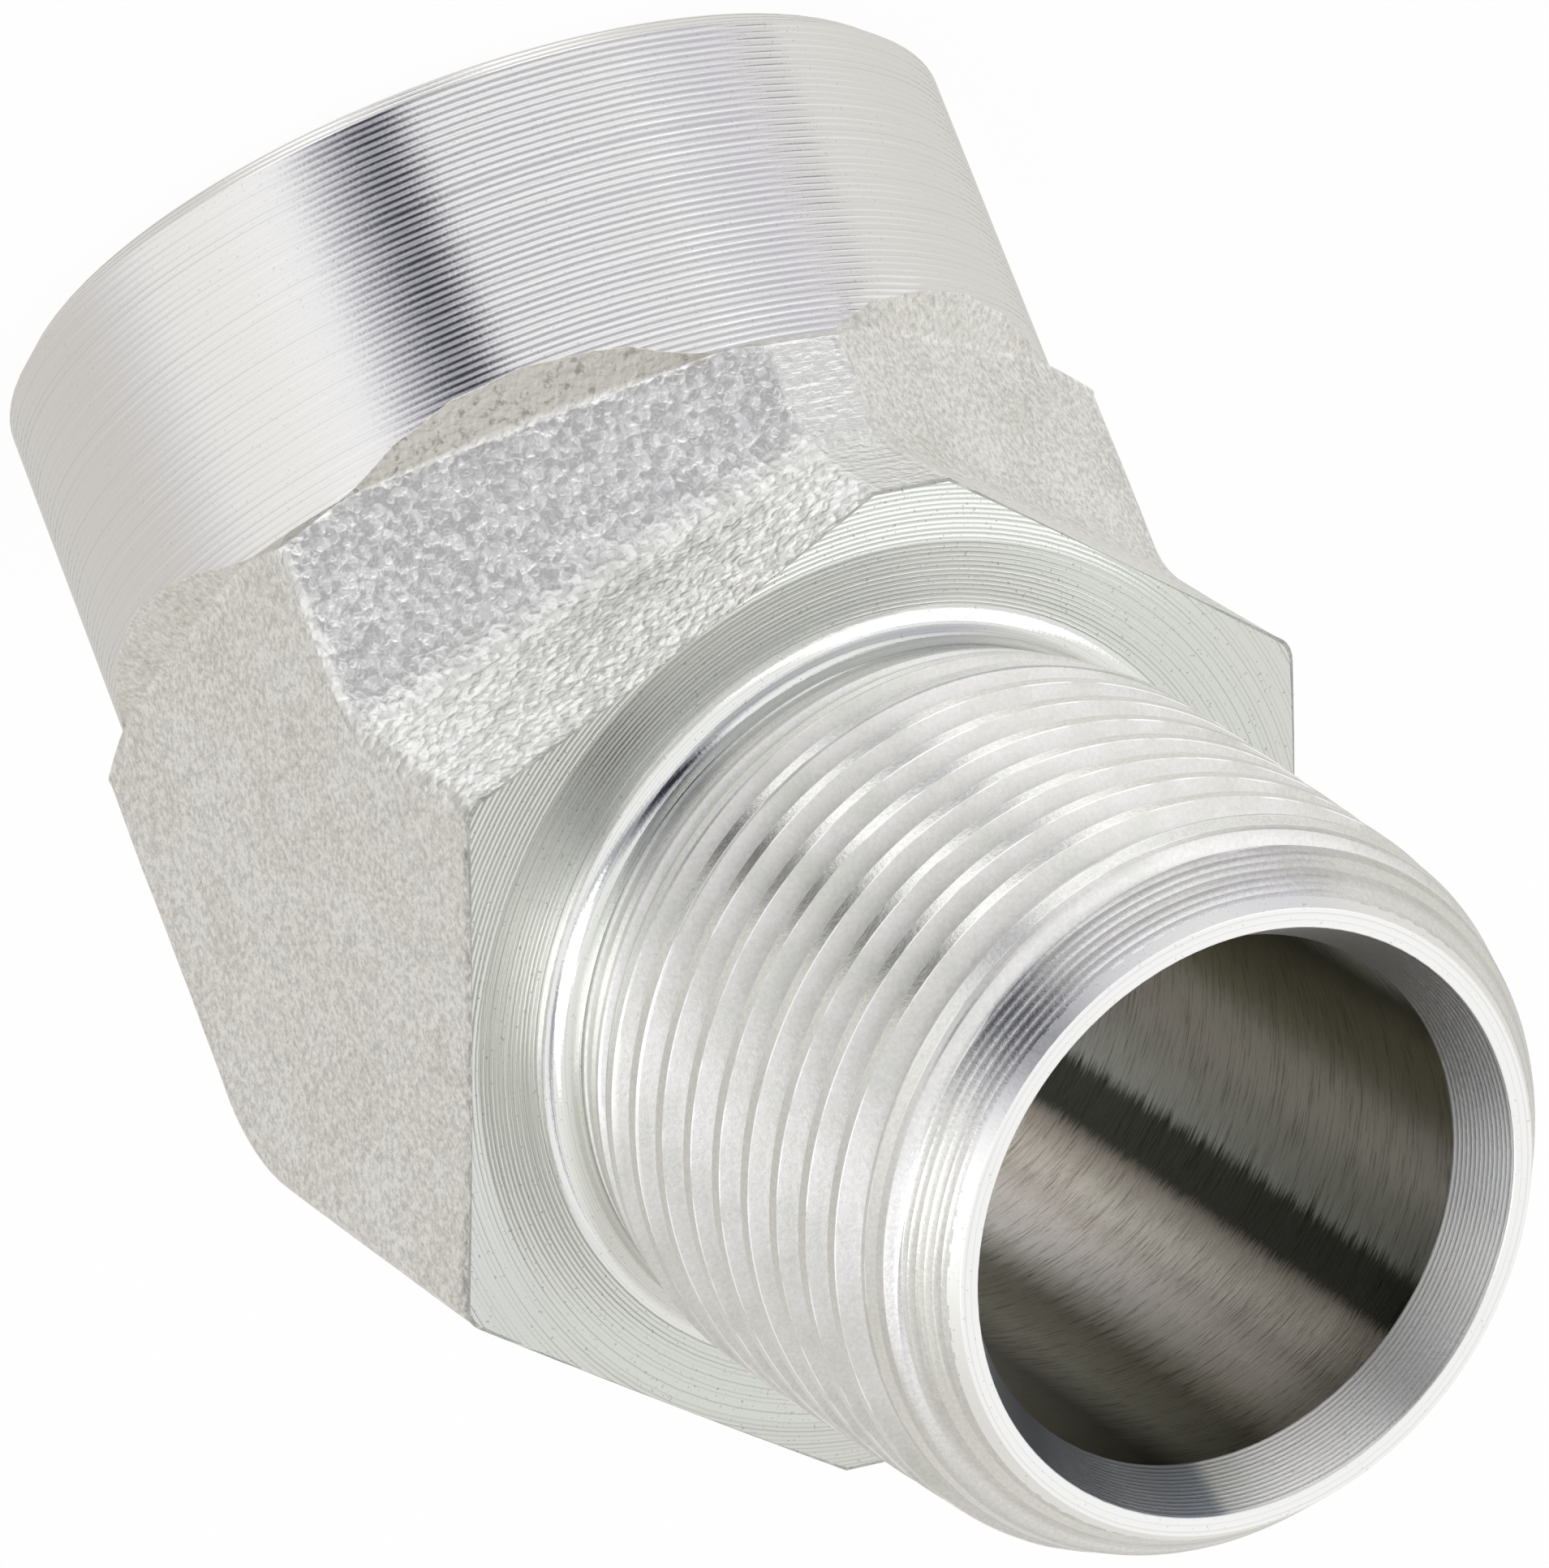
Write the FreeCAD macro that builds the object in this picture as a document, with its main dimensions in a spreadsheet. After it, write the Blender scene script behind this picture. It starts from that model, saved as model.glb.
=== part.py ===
"""Forged steel 45 degree street elbow, tapered pipe thread male to female, one piece.

Frame: the female port's end face lies on Z = 0 with its axis on Z, the body rises to +Z,
and the bend lies in the XZ plane, so the male end leans toward +X. Millimetres and degrees.
"""
import FreeCAD, Part
import os
import re
import Sketcher

os.makedirs("parts", exist_ok=True)
doc = FreeCAD.newDocument("Elbow")


# The sizes

sheet = doc.addObject("Spreadsheet::Sheet", "Sizes")
sizes = [
    # the forged hexagon, its mitred bend and the bands left where the flash was sheared
    ("bend_angle", 45.0),
    ("across_flats", 32.4),
    ("outer_trim_width", 2.6),
    ("inner_trim_width", 2.95),
    ("inner_trim_offset", 0.85),
    ("inner_trim_depth", 0.75),
    ("corner_radius", 1.0),
    ("outer_bend_radius", 6.5),
    ("inner_bend_radius", 3.0),
    # the female end: bend centre to port face, turned boss, runout of the forged flats
    ("female_reach", 24.6),
    ("hexagon_reach", 11.85),
    ("boss_over_flats", 2.52),
    ("boss_rim_chamfer", 0.72),
    ("runout_angle", 38.7),
    ("step_bevel_angle", 36.0),
    # the flow bore, and the female port as drilled and countersunk for its taper thread
    ("bore_diameter", 18.6),
    ("port_step", 2.4),
    ("port_drill_depth", 17.5),
    ("port_countersink", 2.1),
    ("drill_point_angle", 118.0),
    # the turned shoulder, flat inside and bevelled across the hexagon's corners
    ("shoulder_reach", 12.45),
    ("shoulder_flat_inset", 0.2),
    ("shoulder_bevel_angle", 10.0),
    # the male shank from the shoulder out: neck, thread runout, straight blank, taper
    ("neck_relief", 0.85),
    ("neck_fillet", 1.08),
    ("neck_straight", 0.07),
    ("thread_runout_length", 3.75),
    ("blank_length", 3.08),
    ("taper_length", 15.52),
    ("thread_taper", 0.0625),
    ("thread_tip_diameter", 26.03),
    # the turned lead-in, where the first crests are cut away, and the land round the seat
    ("lead_drop", 1.07),
    ("lead_length", 2.14),
    ("partial_crest_length", 1.96),
    ("tip_land", 0.67),
    ("seat_width", 1.02),
    ("seat_depth", 2.26),
    # how far the cutting profiles reach past the metal
    ("cut_margin", 2.0),
]
for row, (alias, value) in enumerate(sizes, start=1):
    sheet.set("A%d" % row, alias)
    sheet.set("B%d" % row, str(value))
    sheet.setAlias("B%d" % row, alias)
doc.recompute()

# Places and diameters that follow from the sizes above
STEP = "(female_reach - hexagon_reach)"
BOSS = "(across_flats + boss_over_flats)"
HEX_CORNERS = "(2 * across_flats / sqrt(3))"
PORT_DRILL = "(bore_diameter + 2 * port_step)"
POINT_SLOPE = "tan(drill_point_angle * 1deg / 2)"
SHOULDER_FLAT = "(across_flats - 2 * shoulder_flat_inset)"
BLANK = "(thread_tip_diameter + taper_length * thread_taper)"
NECK = "(%s - 2 * neck_relief)" % BLANK
NECK_END = "(shoulder_reach + neck_fillet + neck_straight)"
RUNOUT_END = "(%s + thread_runout_length)" % NECK_END
MALE_REACH = "(%s + blank_length + taper_length)" % RUNOUT_END
FIRST_CREST = "(lead_length + partial_crest_length)"
SEAT = "(bore_diameter + 2 * seat_width)"


def size(text):
    """Value of an expression in the sheet's aliases."""
    return float(sheet.evalExpression(text))


# Sketch and feature helpers

def bound(text):
    """The same expression as an object outside the sheet reads it."""
    return re.sub(r"[a-z]+(_[a-z]+)+", r"Sizes.\g<0>", text)


def new_sketch(body, name, role):
    sketch = body.newObject("Sketcher::SketchObject", name)
    plane = next(item for item in body.Origin.OriginFeatures if item.Role == role)
    sketch.AttachmentSupport = [(plane, "")]
    sketch.MapMode = "FlatFace"
    return sketch


def draw_path(sketch, corners, closed=False):
    """Draw lines through points given as expressions, with None for a zero coordinate."""
    points = [FreeCAD.Vector(*[0.0 if text is None else size(text) for text in corner])
              for corner in corners]
    ends = points[1:] + points[:1] if closed else points[1:]
    edges = [sketch.addGeometry(Part.LineSegment(*pair), False) for pair in zip(points, ends)]
    joints = list(zip(edges, edges[1:] + edges[:1] if closed else edges[1:]))
    for edge, following in joints:
        sketch.addConstraint(Sketcher.Constraint("Coincident", edge, 2, following, 1))
    held = [(edge, 1) for edge in edges] + ([] if closed else [(edges[-1], 2)])
    for (edge, end), (across, up) in zip(held, corners):
        for kind, axis, text in (("DistanceX", -2, across), ("DistanceY", -1, up)):
            if text is None:
                sketch.addConstraint(Sketcher.Constraint("PointOnObject", edge, end, axis))
            else:
                datum = Sketcher.Constraint(kind, -1, 1, edge, end, size(text))
                index = sketch.addConstraint(datum)
                sketch.setExpression("Constraints[%d]" % index, bound(text))


def draw_outline(sketch, corners):
    draw_path(sketch, corners, closed=True)


def turned(body, kind, name, corners, on_male_axis):
    """Revolve a half profile, across and along one of the two axes, to add or cut metal."""
    sketch = new_sketch(body, name + "Profile", "XZ_Plane")
    if on_male_axis:
        sketch.setExpression("AttachmentOffset.Base.y", bound("female_reach"))
        sketch.setExpression("AttachmentOffset.Rotation.Angle", bound("-bend_angle"))
    draw_outline(sketch, corners)
    feature = body.newObject("PartDesign::" + kind, name)
    feature.Profile = sketch
    feature.ReferenceAxis = (sketch, ["V_Axis"])
    feature.Angle = 360.0
    doc.recompute()
    return feature


def rounded(body, name, base, edge_names, radius):
    feature = body.newObject("PartDesign::Fillet", name)
    feature.Base = (base, edge_names)
    feature.setExpression("Radius", bound(radius))
    doc.recompute()
    return feature


def edges_where(shape, test):
    """Names of the edges whose ends and middle all pass a test."""
    names = []
    for number, edge in enumerate(shape.Edges, start=1):
        middle = edge.valueAt((edge.FirstParameter + edge.LastParameter) / 2)
        if all(test(point) for point in [vertex.Point for vertex in edge.Vertexes] + [middle]):
            names.append("Edge%d" % number)
    return names


elbow = doc.addObject("PartDesign::Body", "ElbowBody")
elbow.Label = "elbow_body"


# The female boss, turned round up to the step where the forged hexagon begins

boss_sketch = new_sketch(elbow, "BossCircle", "XY_Plane")
circle = Part.Circle(FreeCAD.Vector(), FreeCAD.Vector(0, 0, 1), size(BOSS) / 2)
ring = boss_sketch.addGeometry(circle, False)
boss_sketch.addConstraint(Sketcher.Constraint("Coincident", ring, 3, -1, 1))
datum = boss_sketch.addConstraint(Sketcher.Constraint("Diameter", ring, size(BOSS)))
boss_sketch.setExpression("Constraints[%d]" % datum, bound(BOSS))
boss = elbow.newObject("PartDesign::Pad", "Boss")
boss.Profile = boss_sketch
boss.setExpression("Length", bound(STEP))
doc.recompute()

# Each forged flat runs out into the boss on a slope, which the turning left as an arched ramp.

ramp_sketch = new_sketch(elbow, "RampProfile", "YZ_Plane")
draw_outline(ramp_sketch, [
    ("across_flats / 2 - cut_margin * tan(runout_angle * 1deg)", STEP + " + cut_margin"),
    (BOSS + " / 2 + cut_margin", STEP + " + cut_margin"),
    (BOSS + " / 2 + cut_margin",
     STEP + " - (boss_over_flats / 2 + cut_margin) / tan(runout_angle * 1deg)"),
])
ramp = elbow.newObject("PartDesign::Pocket", "Ramp")
ramp.Profile = ramp_sketch
ramp.SideType = "Symmetric"
ramp.setExpression("Length", bound(HEX_CORNERS + " / 2"))
doc.recompute()
ramps = elbow.newObject("PartDesign::PolarPattern", "Ramps")
ramps.Originals = [ramp]
ramps.Axis = (boss_sketch, ["N_Axis"])
ramps.Angle = 360.0
ramps.Occurrences = 6
elbow.Tip = ramps
doc.recompute()


# The forged hexagon, mitred at the bend. Its flash was sheared off along the inner edge, a little
# to one side of it, and along the outer edge.

hexagon_sketch = new_sketch(elbow, "HexagonSection", "XY_Plane")
hexagon_sketch.setExpression("AttachmentOffset.Base.z", bound(STEP))
CORNER_ACROSS = HEX_CORNERS + " / 4"
INNER_BAND = "(%s / 2 - inner_trim_depth)" % HEX_CORNERS
OUTER_BAND = "(%s - outer_trim_width / sqrt(3)) / 2" % HEX_CORNERS
draw_outline(hexagon_sketch, [
    (INNER_BAND, "-(inner_trim_width / 2 + inner_trim_offset)"),
    (INNER_BAND, "inner_trim_width / 2 - inner_trim_offset"),
    (CORNER_ACROSS, "across_flats / 2"),
    ("-" + CORNER_ACROSS, "across_flats / 2"),
    ("-" + OUTER_BAND, "outer_trim_width / 2"),
    ("-" + OUTER_BAND, "-outer_trim_width / 2"),
    ("-" + CORNER_ACROSS, "-across_flats / 2"),
    (CORNER_ACROSS, "-across_flats / 2"),
])
spine = new_sketch(elbow, "BendSpine", "XZ_Plane")
draw_path(spine, [
    (None, STEP),
    (None, "female_reach"),
    ("shoulder_reach * sin(bend_angle * 1deg)",
     "female_reach + shoulder_reach * cos(bend_angle * 1deg)"),
])
hexagon = elbow.newObject("PartDesign::AdditivePipe", "Hexagon")
hexagon.Profile = hexagon_sketch
hexagon.Spine = (spine, ["Edge1", "Edge2"])
hexagon.Transition = "Right corner"
doc.recompute()


# The forged roundings: the mitre's creases first, then the long corners that run round them

bend_centre = FreeCAD.Vector(0, 0, size("female_reach"))
upward = FreeCAD.Vector(0, 0, 1)
male_direction = FreeCAD.Rotation(FreeCAD.Vector(0, 1, 0), size("bend_angle")).multVec(upward)
mitre_normal = FreeCAD.Rotation(FreeCAD.Vector(0, 1, 0), size("bend_angle / 2")).multVec(upward)
flat_distance = size("across_flats / 2")


def in_mitre(point):
    return abs((point - bend_centre).dot(mitre_normal)) < 1e-4


def on_inner_crease(point):
    return in_mitre(point) and point.x > flat_distance / 2


def on_outer_crease(point):
    return in_mitre(point) and point.x < -flat_distance / 2


def on_side_flat(point):
    return abs(abs(point.y) - flat_distance) < 1e-4


def on_hexagon_end(point):
    from_step = point.z - size(STEP)
    from_shoulder = (point - bend_centre).dot(male_direction) - size("shoulder_reach")
    return min(abs(from_step), abs(from_shoulder)) < 1e-4


outer_bend = rounded(elbow, "OuterBend", hexagon,
                     edges_where(hexagon.Shape, on_outer_crease), "outer_bend_radius")
inner_bend = rounded(elbow, "InnerBend", outer_bend,
                     edges_where(outer_bend.Shape, on_inner_crease), "inner_bend_radius")
hexagon_ends = edges_where(inner_bend.Shape, on_hexagon_end)
long_corners = [name for name in edges_where(inner_bend.Shape, on_side_flat)
                if name not in hexagon_ends]
rounded(elbow, "HexagonCorners", inner_bend, long_corners, "corner_radius")


# The step under the hexagon's corners, bevelled from the boss outward

turned(elbow, "Groove", "StepBevel", [
    (BOSS + " / 2", STEP),
    (HEX_CORNERS + " / 2 + cut_margin", STEP),
    (HEX_CORNERS + " / 2 + cut_margin",
     "%s + (%s / 2 + cut_margin - %s / 2) * tan(step_bevel_angle * 1deg)"
     % (STEP, HEX_CORNERS, BOSS)),
], False)


# The turned shoulder: flat inside, bevelled across the hexagon's corners

turned(elbow, "Groove", "ShoulderBevel", [
    (SHOULDER_FLAT + " / 2", "shoulder_reach"),
    (HEX_CORNERS + " / 2 + cut_margin", "shoulder_reach"),
    (HEX_CORNERS + " / 2 + cut_margin",
     "shoulder_reach - (%s / 2 + cut_margin - %s / 2) * tan(shoulder_bevel_angle * 1deg)"
     % (HEX_CORNERS, SHOULDER_FLAT)),
], True)


# The male shank: neck, thread runout, blank, tapered crest envelope, lead-in and tip face

shank = turned(elbow, "Revolution", "Shank", [
    (None, "shoulder_reach - cut_margin"),
    (NECK + " / 2", "shoulder_reach - cut_margin"),
    (NECK + " / 2", NECK_END),
    (BLANK + " / 2", RUNOUT_END),
    (BLANK + " / 2", RUNOUT_END + " + blank_length"),
    ("(thread_tip_diameter + %s * thread_taper) / 2" % FIRST_CREST,
     "%s - %s" % (MALE_REACH, FIRST_CREST)),
    ("thread_tip_diameter / 2 - lead_drop / 2", MALE_REACH + " - lead_length"),
    (SEAT + " / 2 + tip_land", MALE_REACH),
    (None, MALE_REACH),
], True)


def on_neck_root(point):
    along = (point - bend_centre).dot(male_direction)
    across = (point - bend_centre - male_direction * along).Length
    return abs(along - size("shoulder_reach")) < 1e-4 and abs(across - size(NECK) / 2) < 1e-4


rounded(elbow, "NeckFillet", shank, edges_where(shank.Shape, on_neck_root),
        "min(neck_fillet; 0.8 * (%s - %s) / 2)" % (SHOULDER_FLAT, NECK))


# The rim chamfer of the boss

turned(elbow, "Groove", "RimChamfer", [
    (BOSS + " / 2 - boss_rim_chamfer", None),
    (BOSS + " / 2 + cut_margin", None),
    (BOSS + " / 2 + cut_margin", "boss_rim_chamfer"),
    (BOSS + " / 2", "boss_rim_chamfer"),
], False)


# The flow bore from the male tip, with its conical seat, drilled to the bend

turned(elbow, "Groove", "MaleBore", [
    (None, MALE_REACH + " + cut_margin"),
    (SEAT + " / 2 + cut_margin * seat_width / seat_depth", MALE_REACH + " + cut_margin"),
    ("bore_diameter / 2", MALE_REACH + " - seat_depth"),
    ("bore_diameter / 2", None),
    (None, "-bore_diameter / 2 / " + POINT_SLOPE),
], True)


# The female port: countersunk mouth, tap-drill wall, drill point, and the bore up to the bend

turned(elbow, "Groove", "FemalePort", [
    (None, "-cut_margin"),
    (PORT_DRILL + " / 2 + port_countersink + cut_margin", "-cut_margin"),
    (PORT_DRILL + " / 2", "port_countersink"),
    (PORT_DRILL + " / 2", "port_drill_depth"),
    ("bore_diameter / 2", "port_drill_depth + port_step / " + POINT_SLOPE),
    ("bore_diameter / 2", "female_reach"),
    (None, "female_reach + bore_diameter / 2 / " + POINT_SLOPE),
], False)


# Every feature must have built, and each one must have changed the metal

doc.recompute()
for item in doc.Objects:
    if "Invalid" in item.State or "Error" in item.State:
        raise RuntimeError("%s did not build: %s" % (item.Name, item.State))
volume = 0.0
for item in elbow.Group:
    if not item.isDerivedFrom("PartDesign::Feature"):
        continue
    if item.Shape.isNull() or not item.Shape.isValid():
        raise RuntimeError("%s has no valid shape" % item.Name)
    if abs(item.Shape.Volume - volume) < 1e-3:
        raise RuntimeError("%s changed nothing" % item.Name)
    volume = item.Shape.Volume
    print("%-16s %10.2f mm3" % (item.Name, volume))
if len(elbow.Shape.Solids) != 1:
    raise RuntimeError("The elbow isn't one solid")

elbow.Shape.exportStep("parts/" + elbow.Label + ".step")
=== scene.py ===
"""Street elbow for pipe, 45 degrees, one forging of plated steel: the looks over the CAD frame."""
import math

import bmesh
import bpy
import numpy as np
from mathutils import Matrix, Vector, noise


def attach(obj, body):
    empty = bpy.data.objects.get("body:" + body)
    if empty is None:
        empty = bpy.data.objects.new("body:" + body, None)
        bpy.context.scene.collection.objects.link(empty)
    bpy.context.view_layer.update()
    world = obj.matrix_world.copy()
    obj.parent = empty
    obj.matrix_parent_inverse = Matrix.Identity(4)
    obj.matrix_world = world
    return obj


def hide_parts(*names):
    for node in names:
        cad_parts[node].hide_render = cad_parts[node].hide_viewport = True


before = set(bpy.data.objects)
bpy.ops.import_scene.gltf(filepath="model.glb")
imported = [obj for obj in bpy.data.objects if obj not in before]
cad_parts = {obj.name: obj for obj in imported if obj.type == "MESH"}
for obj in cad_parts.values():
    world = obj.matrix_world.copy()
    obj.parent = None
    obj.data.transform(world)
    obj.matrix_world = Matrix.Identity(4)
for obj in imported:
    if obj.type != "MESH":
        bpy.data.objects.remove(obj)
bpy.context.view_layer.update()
MM = 0.001


# The bend and its two axes.
# Everything hangs on two axes that meet at the bend centre: the female end's, which is Z, and the
# male end's, which leans 45 degrees toward +X. A round feature's columns are numbered alike on both.

bend_centre = np.array([0.0, 0.0, 24.6])
male_axis = np.array([math.sqrt(0.5), 0.0, math.sqrt(0.5)])
male_side = np.array([math.sqrt(0.5), 0.0, -math.sqrt(0.5)])
mitre_slope = math.tan(math.radians(22.5))


def female_point(x, y, z):
    """Points about the female axis, in millimetres."""
    return np.stack(np.broadcast_arrays(x, y, z), axis=-1).astype(float)


def male_point(x, y, v):
    """Points about the male axis, v millimetres out from the bend centre."""
    x, y, v = np.broadcast_arrays(x, y, v)
    across = x[..., None] * male_side + y[..., None] * np.array([0.0, 1.0, 0.0])
    return bend_centre + across + v[..., None] * male_axis


# The forging: a hexagonal body bent through the mitre, with its flash sheared off.
# Drop-forged steel, shot-blasted and plated, so its flats are matte and slightly wavy. Its two ends
# are turned: a round boss below, and above it a shoulder with a shallow bevel.

flat_distance = 16.2
corner_distance = flat_distance / math.cos(math.radians(30))
corner_round = 1.0
# the two bands where the flash was sheared: the outer one is centred, the inner one is not
outer_band_half_width = 1.3
inner_band_distance = corner_distance - 0.75
inner_band_near = 0.625
inner_band_far = 2.325
step_height = 12.75
step_bevel = math.tan(math.radians(36.0))
boss_radius = 17.456
rim_chamfer = 0.72
ramp_slope = 1.0 / math.tan(math.radians(38.7))
shoulder_out = 12.45
shoulder_flat_radius = 16.0
bevel_slope = math.tan(math.radians(10.0))
neck_radius = 12.65
neck_fillet = 1.08
neck_end = 13.6
male_reach = 35.95
# how far the columns of a flat stand from its edges, closest where the corner's rounding starts
near_edge = [0.0, 0.12, 0.27, 0.48, 0.78, 1.2, 1.8, 2.6, 3.5, 4.5, 5.6, 6.8, 8.0]


def hexagon_outline():
    """The section's points, counter-clockwise from the inner band, and each flat's outward turn."""
    points, outward = [], []
    # each flat from its first corner to its last; a sheared band cuts off the corner between halves
    outer_band_distance = corner_distance - outer_band_half_width * math.tan(math.radians(30))
    upper = [(inner_band_distance, inner_band_near), (corner_distance / 2, flat_distance),
             (-corner_distance / 2, flat_distance), (-outer_band_distance, outer_band_half_width)]
    lower = [(-outer_band_distance, -outer_band_half_width), (-corner_distance / 2, -flat_distance),
             (corner_distance / 2, -flat_distance), (inner_band_distance, -inner_band_far)]
    sides = [pair for half in (upper, lower) for pair in zip(half, half[1:])]
    turns = []
    for start, end in sides:
        turns.append(math.atan2(start[0] - end[0], end[1] - start[1]))
    for k, (start, end) in enumerate(sides):
        start = np.array(start)
        end = np.array(end)
        along = (end - start) / np.linalg.norm(end - start)
        rounded_start = k % 3 > 0
        rounded_end = k % 3 < 2
        bend_before = (turns[k] - turns[k - 1]) % (2 * math.pi) if rounded_start else 0.0
        bend_after = (turns[(k + 1) % 6] - turns[k]) % (2 * math.pi) if rounded_end else 0.0
        first = corner_round * math.tan(bend_before / 2)
        last = corner_round * math.tan(bend_after / 2)
        span = np.linalg.norm(end - start) - first - last
        near = [t for t in near_edge if t < span / 2 - 0.5]
        for t in near + [span / 2] + [span - t for t in reversed(near)]:
            points.append(start + along * (first + t))
            outward.append(turns[k])
        if rounded_end:
            centre = points[-1] - corner_round * np.array([math.cos(turns[k]), math.sin(turns[k])])
            for a in turns[k] + bend_after * np.linspace(0, 1, 9)[1:-1]:
                points.append(centre + corner_round * np.array([math.cos(a), math.sin(a)]))
                outward.append(a)
        else:
            following = np.array(sides[(k + 1) % 6][0])
            for t in np.linspace(0.0, 1.0, 10)[1:-1]:
                points.append(end + (following - end) * t)
                outward.append(math.pi if k == 2 else 0.0)
    return np.array(points), np.array(outward)


outline, outward_turn = hexagon_outline()
turn_angle = np.arctan2(outline[:, 1], outline[:, 0])
unit_x = np.cos(turn_angle)
unit_y = np.sin(turn_angle)
outline_radius = np.hypot(outline[:, 0], outline[:, 1])
# how far each column is turned from the middle of its flat
off_normal = np.radians(np.degrees(turn_angle) % 60.0 - 30.0)
column_count = len(outline)

# the surface is rows of such columns, from the boss's mouth round the outside and back up the bores
FACED, TURNED, FORGED, SHOULDER, BORED, SEAT, DRILLED, FILLET = range(8)
rows = []
row_material = []
row_feed = []
crisp_rows = []


def add_row(points, material, feed=0.0):
    """One ring of the closed surface; its material is that of the strip that leads up to it."""
    rows.append(points)
    row_material.append(material)
    row_feed.append(np.broadcast_to(feed, column_count))


# end face of the boss, from the countersunk mouth out to the rim chamfer
for radius in (13.8, 14.6, 15.6, boss_radius - rim_chamfer - 0.03):
    add_row(female_point(radius * unit_x, radius * unit_y, 0.0), FACED, radius - boss_radius)
for t in np.linspace(0.0, 1.0, 5):
    radius = boss_radius - rim_chamfer * (1.0 - t)
    add_row(female_point(radius * unit_x, radius * unit_y, rim_chamfer * t), TURNED, rim_chamfer * t)
# wall of the boss, up to the arches that the forged flats leave in it
arch = step_height - ramp_slope * np.maximum(0.0, boss_radius * np.cos(off_normal) - flat_distance)
# the turning tears the forging's skin, so the arches' edges wander a little
tear = [noise.noise(Vector((x * 14.0, y * 14.0, 3.0))) for x, y in zip(unit_x, unit_y)]
arch = arch + 0.35 * np.array(tear) * np.minimum(1.0, (step_height - arch) / 0.8)
for t in np.linspace(0.0, 1.0, 12)[1:]:
    height = rim_chamfer + 0.04 + (arch - rim_chamfer - 0.04) * t
    add_row(female_point(boss_radius * unit_x, boss_radius * unit_y, height), TURNED, height)
# the ramps, or under the corners the bevelled step
for t in (0.03, 0.15, 0.35, 0.6, 0.85, 1.0):
    radius = boss_radius + (outline_radius - boss_radius) * t
    height = arch + (step_height - arch) * t + np.maximum(0.0, radius - boss_radius) * step_bevel
    add_row(female_point(radius * unit_x, radius * unit_y, height), FORGED)
leg_foot = step_height + np.maximum(0.0, outline_radius - boss_radius) * step_bevel

# the hexagon: up the female leg, round the mitre on an arc, out along the male leg
bend_radius = np.interp(outline[:, 0], [-9.35, 9.35], [6.5, 3.0])
tangent_length = bend_radius * mitre_slope
bend_foot = bend_centre[2] - outline[:, 0] * mitre_slope - tangent_length
bend_out = outline[:, 0] * mitre_slope + tangent_length
leg_out = shoulder_out - np.maximum(0.0, outline_radius - shoulder_flat_radius) * bevel_slope
# shares of a leg's length where its rows lie, closer at its ends
graded = [0.02, 0.06, 0.12, 0.2, 0.3, 0.4, 0.5, 0.6, 0.7, 0.8, 0.88, 0.94, 0.98]
first_leg_row = len(rows) - 1
for t in graded + [1.0]:
    height = leg_foot + (bend_foot - leg_foot) * t
    add_row(female_point(outline[:, 0], outline[:, 1], height), FORGED)
for a in np.radians(np.linspace(0, 45, 13)[1:-1]):
    across = outline[:, 0] + bend_radius * (1.0 - math.cos(a))
    add_row(female_point(across, outline[:, 1], bend_foot + bend_radius * math.sin(a)), FORGED)
for t in [0.0] + graded + [1.0]:
    add_row(male_point(outline[:, 0], outline[:, 1], bend_out + (leg_out - bend_out) * t), FORGED)
last_leg_row = len(rows) - 1

# the shoulder: bevel, flat face, fillet and neck
for t in (0.06, 0.25, 0.5, 0.75, 1.0):
    radius = outline_radius + (shoulder_flat_radius - outline_radius) * t
    out = leg_out + (shoulder_out - leg_out) * t
    add_row(male_point(radius * unit_x, radius * unit_y, out), SHOULDER, -radius)
crisp_rows.append(len(rows) - 1)
for radius in (15.7, 15.2, 14.6, 14.1, neck_radius + neck_fillet):
    add_row(male_point(radius * unit_x, radius * unit_y, shoulder_out), SHOULDER, -radius)
for a in np.radians(np.linspace(0, 90, 9)[1:]):
    radius = neck_radius + neck_fillet * (1.0 - math.sin(a))
    out = shoulder_out + neck_fillet * (1.0 - math.cos(a))
    add_row(male_point(radius * unit_x, radius * unit_y, out), FILLET, out - shoulder_out - radius)
# under the thread's sleeve the wall steps in, so the two surfaces never meet
for out, radius in ((neck_end, neck_radius), (neck_end + 0.02, 11.5), (35.4, 10.8), (35.55, 11.25)):
    add_row(male_point(radius * unit_x, radius * unit_y, out), SHOULDER, out - shoulder_out - radius)

# the tip: last of the lead-in, end face with its edges just broken, conical seat
for out, radius, crisp in ((35.55, 11.2685, False), (35.93, 11.0, True), (male_reach, 10.97, True),
                           (male_reach, 10.65, False), (male_reach, 10.34, True),
                           (35.92, 10.31, True), (35.2, 9.98, False), (34.4, 9.62, False),
                           (33.72, 9.31, True)):
    add_row(male_point(radius * unit_x, radius * unit_y, out), SEAT, out + radius)
    if crisp:
        crisp_rows.append(len(rows) - 1)
# the bore, from the seat to the bend
bore_radius = 9.3
bore_start = 33.66
point_slope = 1.0 / math.tan(math.radians(59.0))
bore_x = bore_radius * unit_x
bore_y = bore_radius * unit_y
add_row(male_point(bore_x, bore_y, bore_start), BORED, bore_start + bore_radius)
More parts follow.
